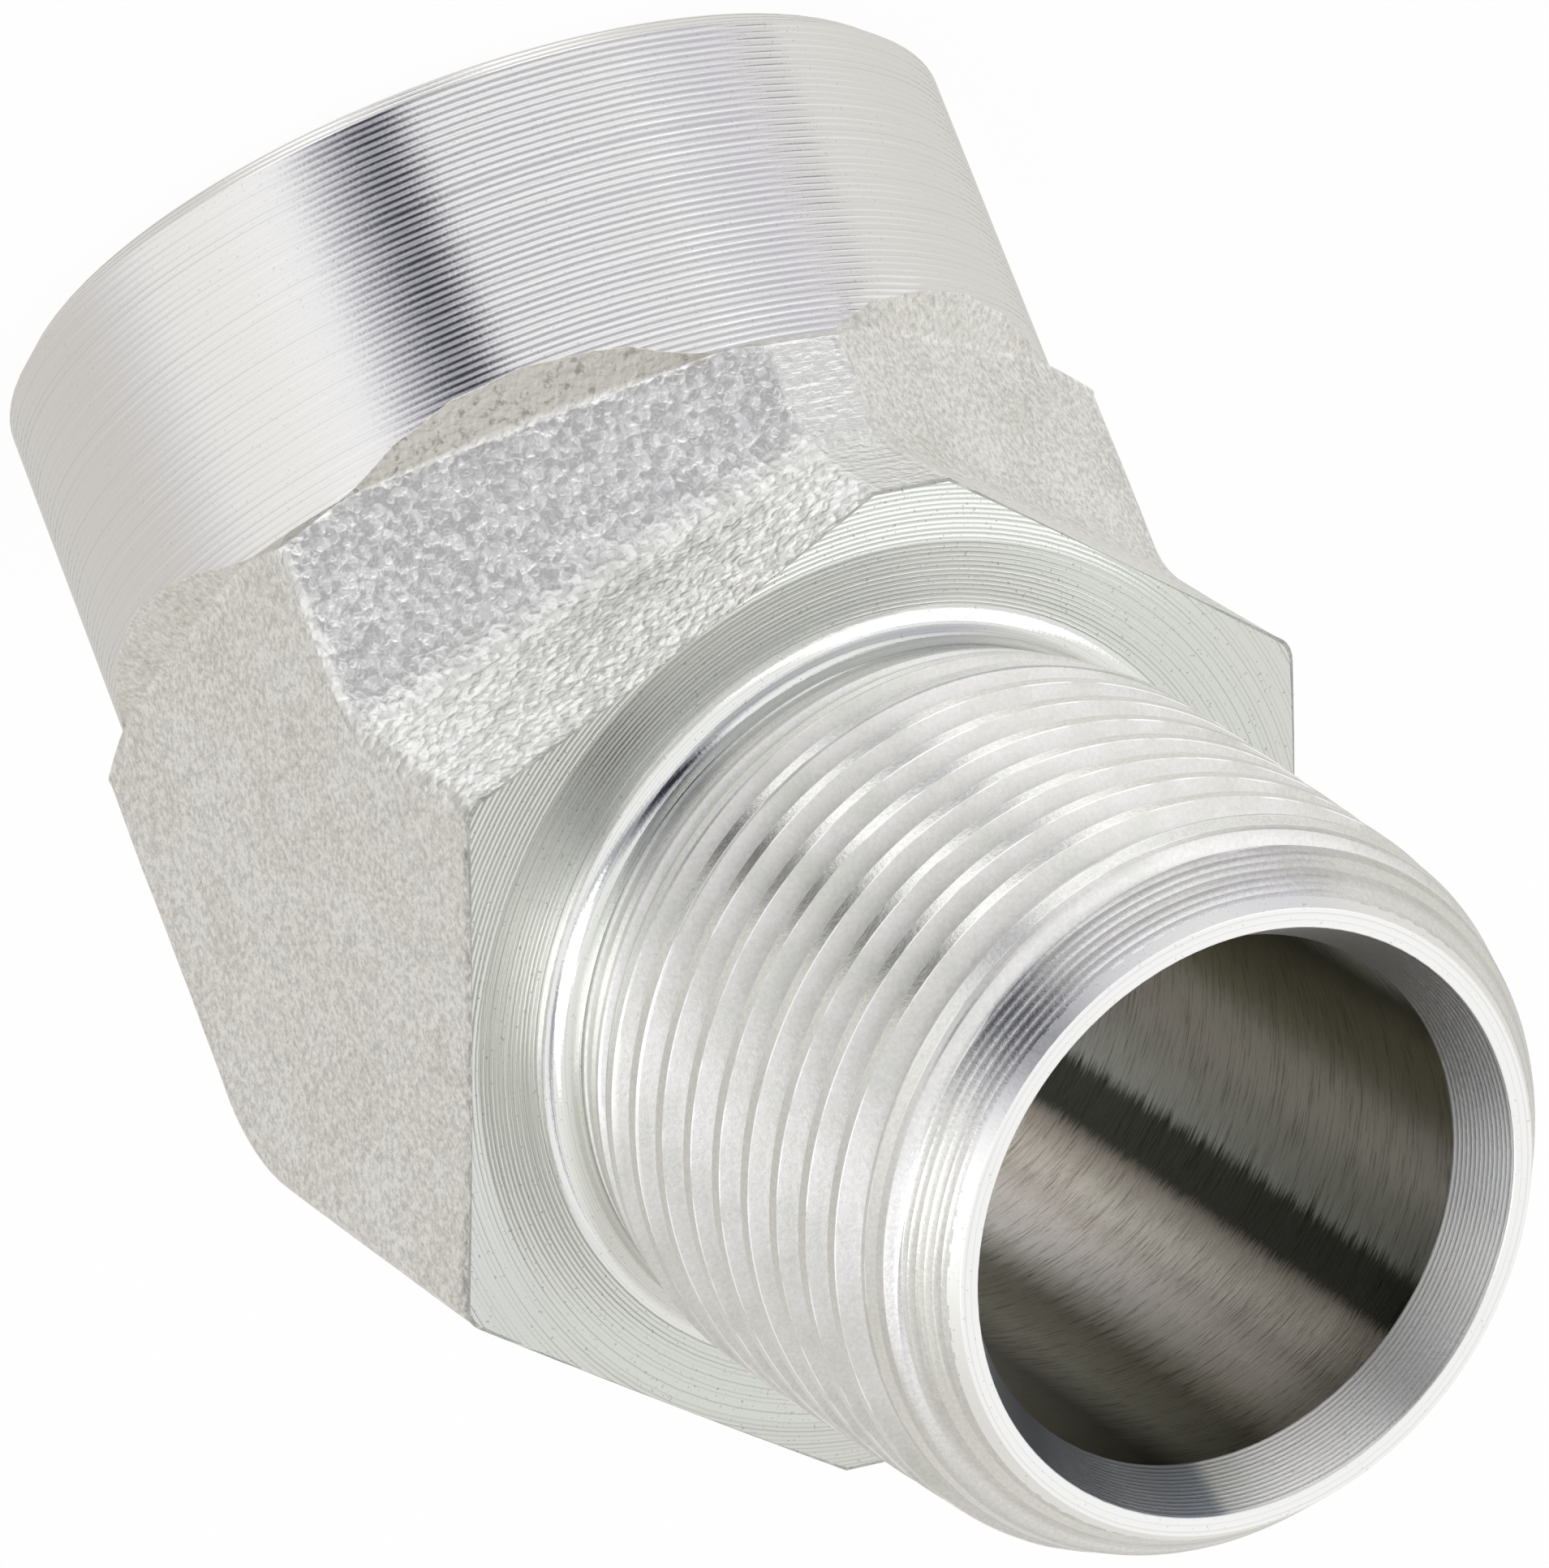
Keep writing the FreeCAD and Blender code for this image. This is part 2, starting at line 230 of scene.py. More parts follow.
# past the mitre each drill went on to the bend centre, and its point left a cone
drill_end = np.maximum(0.0, bore_x * mitre_slope)
for t in np.linspace(0.0, 1.0, 14)[1:]:
    add_row(male_point(bore_x, bore_y, bore_start + (drill_end - bore_start) * t), BORED)
to_apex = np.clip(-bore_x, 0.0, None) * mitre_slope
reach = to_apex / (bore_radius * point_slope + 1e-9)
share = reach / (1.0 + to_apex / (bore_radius * point_slope))
mitre_x = bore_x * (1.0 - share)
mitre_y = bore_y * (1.0 - share)
mitre_z = np.where(bore_x < 0, bend_centre[2] + bore_radius * point_slope * share,
                   bend_centre[2] - bore_x * mitre_slope)
add_row(female_point(mitre_x, mitre_y, mitre_z), DRILLED)
# the female bore, the tap drill's conical point, its wall, and the room behind the thread's sleeve
port_radius = 11.7
port_depth = 17.5
point_top = 18.942
female_top = np.minimum(bend_centre[2], bend_centre[2] - bore_x * mitre_slope) - 0.02
for t in np.linspace(0.0, 1.0, 5):
    add_row(female_point(bore_x, bore_y, female_top + (point_top - female_top) * t), DRILLED)
for z, radius in ((18.22, 10.5), (port_depth, port_radius), (17.4, port_radius), (16.4, port_radius),
                  (15.42, port_radius), (15.4, 13.9), (0.32, 13.9), (0.25, 13.55)):
    add_row(female_point(radius * unit_x, radius * unit_y, z), DRILLED)

grid = np.array(rows)

# a forging's flats are never quite true: swells of a few hundredths, and ragged sheared edges
for r in range(first_leg_row + 1, last_leg_row):
    on_male = (grid[r] - bend_centre) @ male_axis > 0
    side = np.where(on_male[:, None], male_side, np.array([1.0, 0.0, 0.0]))
    outward = (np.cos(outward_turn)[:, None] * side
               + np.sin(outward_turn)[:, None] * np.array([0.0, 1.0, 0.0]))
    for c in range(column_count):
        swell = noise.noise(Vector(grid[r, c] / 5.0)) * 0.05
        swell += noise.noise(Vector(grid[r, c] / 1.6 + 7.0)) * 0.018
        # less the most that it can stand out, so that the flats stay inside the nominal hexagon
        grid[r, c] += outward[c] * (swell - 0.03)

# what each finish follows over the surface: the turning's feed, in millimetres, and where the
# forging is scaled and coarse, sheared, or near an edge that the turning broke
coarse_columns = (outward_turn > 0.3) & (outward_turn < 1.4) & (outline[:, 0] > 7.5)
sheared_columns = (np.abs(outline[:, 1]) < 2.4) & (np.abs(outward_turn) % math.pi < 0.01)
feed = np.array(row_feed)
coarse = np.zeros(feed.shape)
coarse[first_leg_row:last_leg_row + 1] = coarse_columns
sheared = np.zeros(feed.shape)
sheared[first_leg_row:last_leg_row + 1] = sheared_columns
broken = np.zeros(feed.shape)
broken[last_leg_row - 1:last_leg_row + 2] = 1.0
ramped = np.zeros(feed.shape)
ramped[first_leg_row - 5:first_leg_row] = np.where(coarse_columns, 1.0, 0.35)

forging = bmesh.new()
layers = [(forging.verts.layers.float.new(name), values) for name, values in
          (("feed", feed), ("coarse", coarse), ("sheared", sheared), ("broken", broken),
           ("ramped", ramped))]
vertices = [[forging.verts.new(point * MM) for point in row] for row in grid]
for r, row in enumerate(vertices):
    for c, vertex in enumerate(row):
        for layer, values in layers:
            vertex[layer] = values[r, c]
for r in range(len(grid)):
    following = (r + 1) % len(grid)
    for c in range(column_count):
        beside = (c + 1) % column_count
        corners = (vertices[r][c], vertices[following][c], vertices[following][beside],
                   vertices[r][beside])
        face = forging.faces.new(corners)
        face.material_index = row_material[following]
        face.smooth = True
for r in crisp_rows:
    for c in range(column_count):
        forging.edges.get((vertices[r][c], vertices[r][(c + 1) % column_count])).smooth = False
bmesh.ops.remove_doubles(forging, verts=forging.verts, dist=2e-7)
bmesh.ops.recalc_face_normals(forging, faces=forging.faces)
sharpest_soft_angle = math.radians(28)
for crease in forging.edges:
    if len(crease.link_faces) == 2 and crease.calc_face_angle(0.0) > sharpest_soft_angle:
        crease.smooth = False
forging_mesh = bpy.data.meshes.new("forging")
forging.to_mesh(forging_mesh)
forging_volume = forging.calc_volume(signed=True)
forging.free()
forging_piece = bpy.data.objects.new("elbow_forging", forging_mesh)
bpy.context.scene.collection.objects.link(forging_piece)
print("forging", len(forging_mesh.polygons), "faces, volume mm3", forging_volume * 1e9)


def linear(code):
    """An sRGB hex colour as linear red, green, blue and alpha."""
    shares = [int(code[k:k + 2], 16) / 255 for k in (1, 3, 5)]
    return tuple(c / 12.92 if c <= 0.04045 else ((c + 0.055) / 1.055) ** 2.4 for c in shares) + (1.0,)


def add_node(tree, kind, *values, **settings):
    """Add a node with its settings. The values fill or link its inputs, in order or by name."""
    node = tree.nodes.new(kind)
    for name, setting in settings.items():
        setattr(node, name, setting)
    by_name = values[0].items() if values and isinstance(values[0], dict) else enumerate(values)
    for socket, value in by_name:
        if isinstance(value, bpy.types.Node):
            value = next(output for output in value.outputs if output.enabled)
        if isinstance(value, bpy.types.NodeSocket):
            tree.links.new(value, node.inputs[socket])
        elif value is not None:
            node.inputs[socket].default_value = value
    return node


def new_steel(name, roughness, anisotropic=0.0):
    """A bare metal material, its tree, its shader and the place on the object in millimetres."""
    material = bpy.data.materials.new(name)
    material.use_nodes = True
    tree = material.node_tree
    shader = tree.nodes["Principled BSDF"]
    shader.inputs["Metallic"].default_value = 1.0
    shader.inputs["Roughness"].default_value = roughness
    shader.inputs["Anisotropic"].default_value = anisotropic
    coordinates = add_node(tree, "ShaderNodeTexCoord")
    place = add_node(tree, "ShaderNodeVectorMath", coordinates.outputs["Object"], (1e3, 1e3, 1e3),
                     operation="MULTIPLY")
    return material, tree, shader, place


def grooves_across(tree, place, centre, axis):
    """The direction across a turned surface's grooves, along which it spreads a reflection."""
    arm = add_node(tree, "ShaderNodeVectorMath", place, tuple(centre), operation="SUBTRACT")
    around = add_node(tree, "ShaderNodeVectorMath", tuple(axis), arm, operation="CROSS_PRODUCT")
    facing = add_node(tree, "ShaderNodeNewGeometry").outputs["Normal"]
    return add_node(tree, "ShaderNodeVectorMath", facing, around, operation="CROSS_PRODUCT")


def fill_ramp(ramp, stops):
    """Give a colour ramp its stops: angles from -180 to 180 degrees and their colours."""
    while len(ramp.elements) > 1:
        ramp.elements.remove(ramp.elements[-1])
    for number, (degrees, code) in enumerate(stops):
        stop = ramp.elements[0] if number == 0 else ramp.elements.new((degrees + 180) / 360)
        stop.position = (degrees + 180) / 360
        stop.color = linear(code)


def angle_round_male_axis(tree, place):
    """How far round the male axis a point lies, from the side under the bend."""
    arm = add_node(tree, "ShaderNodeVectorMath", place, tuple(bend_centre), operation="SUBTRACT")
    side = add_node(tree, "ShaderNodeVectorMath", arm, tuple(male_side), operation="DOT_PRODUCT")
    level = add_node(tree, "ShaderNodeSeparateXYZ", arm).outputs["Y"]
    return add_node(tree, "ShaderNodeMath", level, side.outputs["Value"], operation="ARCTAN2")


# the seat's cone has less feed than this, and the tip's end face round it more
seat_mouth_feed = 46.28


def turned_finish(name, pitch, depth, roughness, centre, axis, tone_low, tone_high, painted_reflection_bands=None):
    """Zinc-plated turned steel: round-nosed tool marks one feed apart, with a few specks."""
    material, tree, shader, place = new_steel(name, roughness, 0.35)
    wander = add_node(tree, "ShaderNodeTexNoise", {"Vector": place, "Scale": 0.3, "Detail": 2.0})
    feed = add_node(tree, "ShaderNodeAttribute", attribute_name="feed").outputs["Fac"]
    shifted = add_node(tree, "ShaderNodeMath", wander, pitch * 0.2, feed, operation="MULTIPLY_ADD")
    off_centre = add_node(tree, "ShaderNodeMath", shifted, pitch / 2, operation="PINGPONG")
    scallop = add_node(tree, "ShaderNodeMath", off_centre, 2.0, operation="POWER")
    # each pass is a shallow arc; depth is its height in millimetres where two passes meet
    arc = add_node(tree, "ShaderNodeMath", scallop, depth / (pitch / 2) ** 2 * MM,
                   operation="MULTIPLY")
    tearing = add_node(tree, "ShaderNodeTexNoise", {"W": shifted, "Scale": 0.8 / pitch, "Detail": 2.0,
                                                    "Roughness": 0.6}, noise_dimensions="1D")
    cut = add_node(tree, "ShaderNodeMath", tearing, depth * 0.5 * MM, arc, operation="MULTIPLY_ADD")
    grit = add_node(tree, "ShaderNodeTexNoise", {"Vector": place, "Scale": 7.0, "Detail": 3.0})
    rough_cut = add_node(tree, "ShaderNodeMath", grit, 0.004 * MM, cut, operation="MULTIPLY_ADD")
    bump = add_node(tree, "ShaderNodeBump", {"Height": rough_cut, "Distance": 1.0})
    tree.links.new(bump.outputs[0], shader.inputs["Normal"])
    tree.links.new(grooves_across(tree, place, centre, axis).outputs[0], shader.inputs["Tangent"])
    # faintly darker where the passes meet, with sparse specks in the plating
    seam = add_node(tree, "ShaderNodeMapRange", {"Value": off_centre, "From Min": pitch * 0.3,
                                                 "From Max": pitch * 0.5})
    torn = add_node(tree, "ShaderNodeMapRange", {"Value": tearing, "From Min": 0.4, "From Max": 0.65})
    marks = add_node(tree, "ShaderNodeMath", seam, torn, operation="MULTIPLY")
    specks = add_node(tree, "ShaderNodeMapRange", {"Value": grit, "From Min": 0.64, "From Max": 0.72})
    shade = add_node(tree, "ShaderNodeMath", marks, specks, operation="MAXIMUM")
    colour = add_node(tree, "ShaderNodeMix", {"Factor": shade, "A": linear(tone_high),
                                              "B": linear(tone_low)}, data_type="RGBA")
    tone = colour.outputs["Result"]
    # painted reflections, by angle round the male axis, on the seat's cone only
    if painted_reflection_bands:
        angle = angle_round_male_axis(tree, place)
        share = add_node(tree, "ShaderNodeMath", angle, 1 / math.tau, 0.5, operation="MULTIPLY_ADD")
        ramp = add_node(tree, "ShaderNodeValToRGB", share)
        fill_ramp(ramp.color_ramp, painted_reflection_bands)
        with_painted_reflections = add_node(tree, "ShaderNodeVectorMath", tone, ramp.outputs["Color"],
                          operation="MULTIPLY")
        on_cone = add_node(tree, "ShaderNodeMath", feed, seat_mouth_feed, operation="LESS_THAN")
        tone = add_node(tree, "ShaderNodeMix", {"Factor": on_cone, "A": tone, "B": with_painted_reflections},
                        data_type="RGBA").outputs["Result"]
    tree.links.new(tone, shader.inputs["Base Color"])
    uneven = add_node(tree, "ShaderNodeMapRange", {"Value": grit, "To Min": roughness - 0.05,
                                                   "To Max": roughness + 0.07})
    tree.links.new(uneven.outputs[0], shader.inputs["Roughness"])
    return material


boss_finish = turned_finish("zinc_plated_turned_boss", 0.26, 0.018, 0.15, (0, 0, 0), (0, 0, 1),
                            "#dfdfe1", "#f4f3f2")
shoulder_finish = turned_finish("zinc_plated_faced_shoulder", 0.165, 0.008, 0.14, bend_centre,
                                male_axis, "#acafaa", "#dddfda")
# painted reflections: the dark blue-grey zone and the duller ones that the seat mirrors are painted into
# its tone, by angle round the male axis
seat_painted_reflections = [(-180, "#ffffff"), (-150, "#ffffff"), (-135, "#f0f0f0"), (-120, "#d6d6d6"),
              (-100, "#e6e6e6"), (-88, "#ffffff"), (100, "#ffffff"), (110, "#c8ced8"),
              (132, "#d2d8e4"), (140, "#f2f6ff"), (156, "#f2f6ff"), (168, "#c4cad6"),
              (175, "#bcc2ce"), (178, "#ffffff"), (180, "#ffffff")]
seat_finish = turned_finish("zinc_plated_bored_seat", 0.23, 0.003, 0.31, bend_centre, male_axis,
                            "#e2e2e1", "#fefefd", seat_painted_reflections)
fillet_finish = turned_finish("zinc_plated_neck_fillet", 0.165, 0.0008, 0.1, bend_centre, male_axis,
                              "#d0d2ce", "#ecedea")


def forged_finish():
    """Shot-blasted forging under zinc: matte and fine-grained, and one flat coarse and sparkling."""
    material, tree, shader, place = new_steel("zinc_plated_forged_steel", 0.5)
    coarse = add_node(tree, "ShaderNodeAttribute", attribute_name="coarse").outputs["Fac"]
    sheared = add_node(tree, "ShaderNodeAttribute", attribute_name="sheared").outputs["Fac"]
    broken = add_node(tree, "ShaderNodeAttribute", attribute_name="broken").outputs["Fac"]
    # fine blasted grain, a tenth of a millimetre
    grain = add_node(tree, "ShaderNodeTexNoise", {"Vector": place, "Scale": 4.6, "Detail": 5.0,
                                                  "Roughness": 0.72})
    fine = add_node(tree, "ShaderNodeMath", grain, 0.034 * MM, operation="MULTIPLY")
    # coarse scale in rounded grains of three tenths of a millimetre; the arches in the boss have it too
    ramped = add_node(tree, "ShaderNodeAttribute", attribute_name="ramped").outputs["Fac"]
    swell = add_node(tree, "ShaderNodeTexNoise", {"Vector": place, "Scale": 2.2, "Detail": 2.0})
    bent = add_node(tree, "ShaderNodeVectorMath", swell.outputs["Color"], (0.4, 0.4, 0.4), place,
                    operation="MULTIPLY_ADD")
    grains = add_node(tree, "ShaderNodeTexVoronoi", {"Vector": bent, "Scale": 3.3, "Smoothness": 0.6},
                      feature="SMOOTH_F1")
    scaled = add_node(tree, "ShaderNodeMath", ramped, 0.9, coarse, operation="MULTIPLY_ADD")
    scaled = add_node(tree, "ShaderNodeMath", sheared, 0.7, scaled, operation="MULTIPLY_ADD")
    deep = add_node(tree, "ShaderNodeMath", swell, 0.07 * MM, operation="MULTIPLY")
    deep = add_node(tree, "ShaderNodeMath", grains.outputs["Distance"], -0.065 * MM, deep,
                    operation="MULTIPLY_ADD")
    height = add_node(tree, "ShaderNodeMath", deep, scaled, fine, operation="MULTIPLY_ADD")
    # the shear drags streaks across the band
    dragged = add_node(tree, "ShaderNodeMapping", {"Vector": place, "Scale": (0.6, 0.5, 3.0)})
    streaks = add_node(tree, "ShaderNodeTexNoise", {"Vector": dragged, "Scale": 1.6, "Detail": 3.0})
    drag = add_node(tree, "ShaderNodeMath", streaks, 0.13 * MM, operation="MULTIPLY")
    height = add_node(tree, "ShaderNodeMath", drag, sheared, height, operation="MULTIPLY_ADD")
    bump = add_node(tree, "ShaderNodeBump", {"Height": height, "Distance": 1.0})
    tree.links.new(bump.outputs[0], shader.inputs["Normal"])
    # roughness: matte, but the coarse flat and the sheared band are brighter metal
    bright = add_node(tree, "ShaderNodeMath", coarse, sheared, operation="MAXIMUM")
    matte = add_node(tree, "ShaderNodeMapRange", {"Value": bright, "To Min": 0.52, "To Max": 0.28})
    tree.links.new(matte.outputs[0], shader.inputs["Roughness"])
    # tone: pale grey with a drift over centimetres and sparse dark specks
    drift = add_node(tree, "ShaderNodeTexNoise", {"Vector": place, "Scale": 0.25, "Detail": 3.0})
    grey = add_node(tree, "ShaderNodeMapRange", {"Value": drift, "From Min": 0.3, "From Max": 0.7})
    base = add_node(tree, "ShaderNodeMix", {"Factor": grey, "A": linear("#f0efea"),
                                            "B": linear("#fbfaf7")}, data_type="RGBA")
    mottled = add_node(tree, "ShaderNodeMapRange", {"Value": grain, "From Min": 0.35, "From Max": 0.65,
                                                    "To Min": 0.72, "To Max": 1.16})
    base = add_node(tree, "ShaderNodeVectorMath", {0: base.outputs["Result"], "Scale": mottled},
                    operation="SCALE")
    # some grains are burnished and some are dull
    dull = add_node(tree, "ShaderNodeMapRange", {"Value": grains.outputs["Color"], "From Min": 0.6,
                                                 "From Max": 0.35})
    dull = add_node(tree, "ShaderNodeMath", dull, coarse, operation="MULTIPLY")
    dull = add_node(tree, "ShaderNodeMath", sheared, 0.6, dull, operation="MULTIPLY_ADD")
    shiny = add_node(tree, "ShaderNodeMix", {"Factor": dull, "A": linear("#fffffd"),
                                             "B": linear("#e2e2df")}, data_type="RGBA")
    zinc = add_node(tree, "ShaderNodeMix", {"Factor": bright, "A": base,
                                            "B": shiny.outputs["Result"]}, data_type="RGBA")
    # the arches cut into the boss kept their dull brown-grey skin
    skin = add_node(tree, "ShaderNodeMath", ramped, 0.9, operation="MULTIPLY")
    zinc = add_node(tree, "ShaderNodeMix", {"Factor": skin, "A": zinc.outputs["Result"],
                                            "B": linear("#cecbc3")}, data_type="RGBA")
    specks = add_node(tree, "ShaderNodeTexNoise", {"Vector": place, "Scale": 2.4, "Detail": 5.0,
                                                   "Roughness": 0.7})
    dark = add_node(tree, "ShaderNodeMapRange", {"Value": specks, "From Min": 0.69, "From Max": 0.75})
    # the turning left a thin ragged dark burr along the hexagon's edge
    ragged = add_node(tree, "ShaderNodeMapRange", {"Value": specks, "From Min": 0.45, "From Max": 0.6})
    burr_and_crest_highlight = add_node(tree, "ShaderNodeMath", ragged, broken, operation="MULTIPLY")
    dark = add_node(tree, "ShaderNodeMath", dark, burr_and_crest_highlight, operation="MAXIMUM")
    # and cracks in the skin of the arches
    cracks = add_node(tree, "ShaderNodeMapRange", {"Value": specks, "From Min": 0.54, "From Max": 0.64})
    cracks = add_node(tree, "ShaderNodeMath", cracks, ramped, operation="MULTIPLY")
    dark = add_node(tree, "ShaderNodeMath", dark, cracks, operation="MAXIMUM")
    dark = add_node(tree, "ShaderNodeMath", dark, 0.55, operation="MULTIPLY")
    final = add_node(tree, "ShaderNodeMix", {"Factor": dark, "A": zinc.outputs["Result"],
                                             "B": linear("#77756f")}, data_type="RGBA")
    tree.links.new(final.outputs["Result"], shader.inputs["Base Color"])
    return material


# painted reflections round the bore: light and dark lengthwise bands, and pale walls for the seat to
# mirror
bore_painted_reflections = [(-180, "#a0a096"), (-168, "#8c8c82"), (-159, "#dcdad6"), (-152, "#ccc8c4"),
              (-147, "#b4b0aa"), (-139, "#dcd8d0"), (-134, "#e0dad2"), (-131, "#5a5f58"),
              (-121, "#60655e"), (-118, "#d4dcda"), (-108, "#e8ecea"), (-101, "#ffffff"),
              (-92, "#ffffff"), (-84, "#e8e8d6"), (-70, "#d0d0ba"), (-58, "#848876"),
              (-46, "#ffffff"), (-8, "#ffffff"), (8, "#9c9c98"), (120, "#9a9a94"),
              (150, "#a0a096"), (168, "#54544e"), (180, "#a0a096")]


def drilled_finish(name, tone_low, tone_high, painted_reflection_bands):
    """Drilled steel that the plating hardly reached: scored round by the drill, with lengthwise bands of
    painted reflection.
    """
    material, tree, shader, place = new_steel(name, 0.3, 0.4)
    tree.links.new(grooves_across(tree, place, bend_centre, male_axis).outputs[0],
                   shader.inputs["Tangent"])
    arm = add_node(tree, "ShaderNodeVectorMath", place, tuple(bend_centre), operation="SUBTRACT")
    along = add_node(tree, "ShaderNodeVectorMath", arm, tuple(male_axis), operation="DOT_PRODUCT")
    score = add_node(tree, "ShaderNodeCombineXYZ", along.outputs["Value"])
    drawn = add_node(tree, "ShaderNodeMapping", {"Vector": place, "Scale": (0.07, 0.07, 0.07)})
    lines = add_node(tree, "ShaderNodeVectorMath", score, drawn, operation="ADD")
    scores = add_node(tree, "ShaderNodeTexNoise", {"Vector": lines, "Scale": 10.0, "Detail": 4.0,
                                                   "Roughness": 0.75})
    height = add_node(tree, "ShaderNodeMath", scores, 0.014 * MM, operation="MULTIPLY")
    bump = add_node(tree, "ShaderNodeBump", {"Height": height, "Distance": 1.0})
    tree.links.new(bump.outputs[0], shader.inputs["Normal"])
    scored = add_node(tree, "ShaderNodeMapRange", {"Value": scores, "From Min": 0.36, "From Max": 0.49})
    clean = add_node(tree, "ShaderNodeMix", {"Factor": scored, "A": linear(tone_low),
                                             "B": linear(tone_high)}, data_type="RGBA")
    # painted reflections: light and dark bands along the bore, by angle round the male axis, painted
    # into the steel's tone
    angle = angle_round_male_axis(tree, place)
    share = add_node(tree, "ShaderNodeMath", angle, 1 / math.tau, 0.485, operation="MULTIPLY_ADD")
    # the drill's scores make the painted reflections' edges jagged
    share = add_node(tree, "ShaderNodeMath", scores, 0.03, share, operation="MULTIPLY_ADD")
    ramp = add_node(tree, "ShaderNodeValToRGB", share)
    fill_ramp(ramp.color_ramp, painted_reflection_bands)
    colour = add_node(tree, "ShaderNodeVectorMath", clean.outputs["Result"], ramp.outputs["Color"],
                      operation="MULTIPLY")
    tree.links.new(colour.outputs[0], shader.inputs["Base Color"])
    return material


bored = drilled_finish("drilled_bore_steel", "#c6c0b8", "#fffcf8", bore_painted_reflections)
# the port is cleaner, because its thread was cut after the drilling
drilled = drilled_finish("drilled_port_steel", "#bdbab4", "#f2f0ec",
                         [(-180, "#ffffff"), (180, "#f6f6f6")])
# in the order of the surface's materials, from FACED to FILLET
for finish in (boss_finish, boss_finish, forged_finish(), shoulder_finish, bored, seat_finish,
               drilled, fillet_finish):
    forging_mesh.materials.append(finish)


# The threads: right-handed taper pipe threads, cut with a single-point tool.
# Each is a sleeve whose rows follow the helix, so crests and roots stay crisp all the way round.

pitch = 1.8143
crest_phase = 1.8044
half_crest = 0.2268
taper = 1 / 32
tip_crest_radius = 13.015


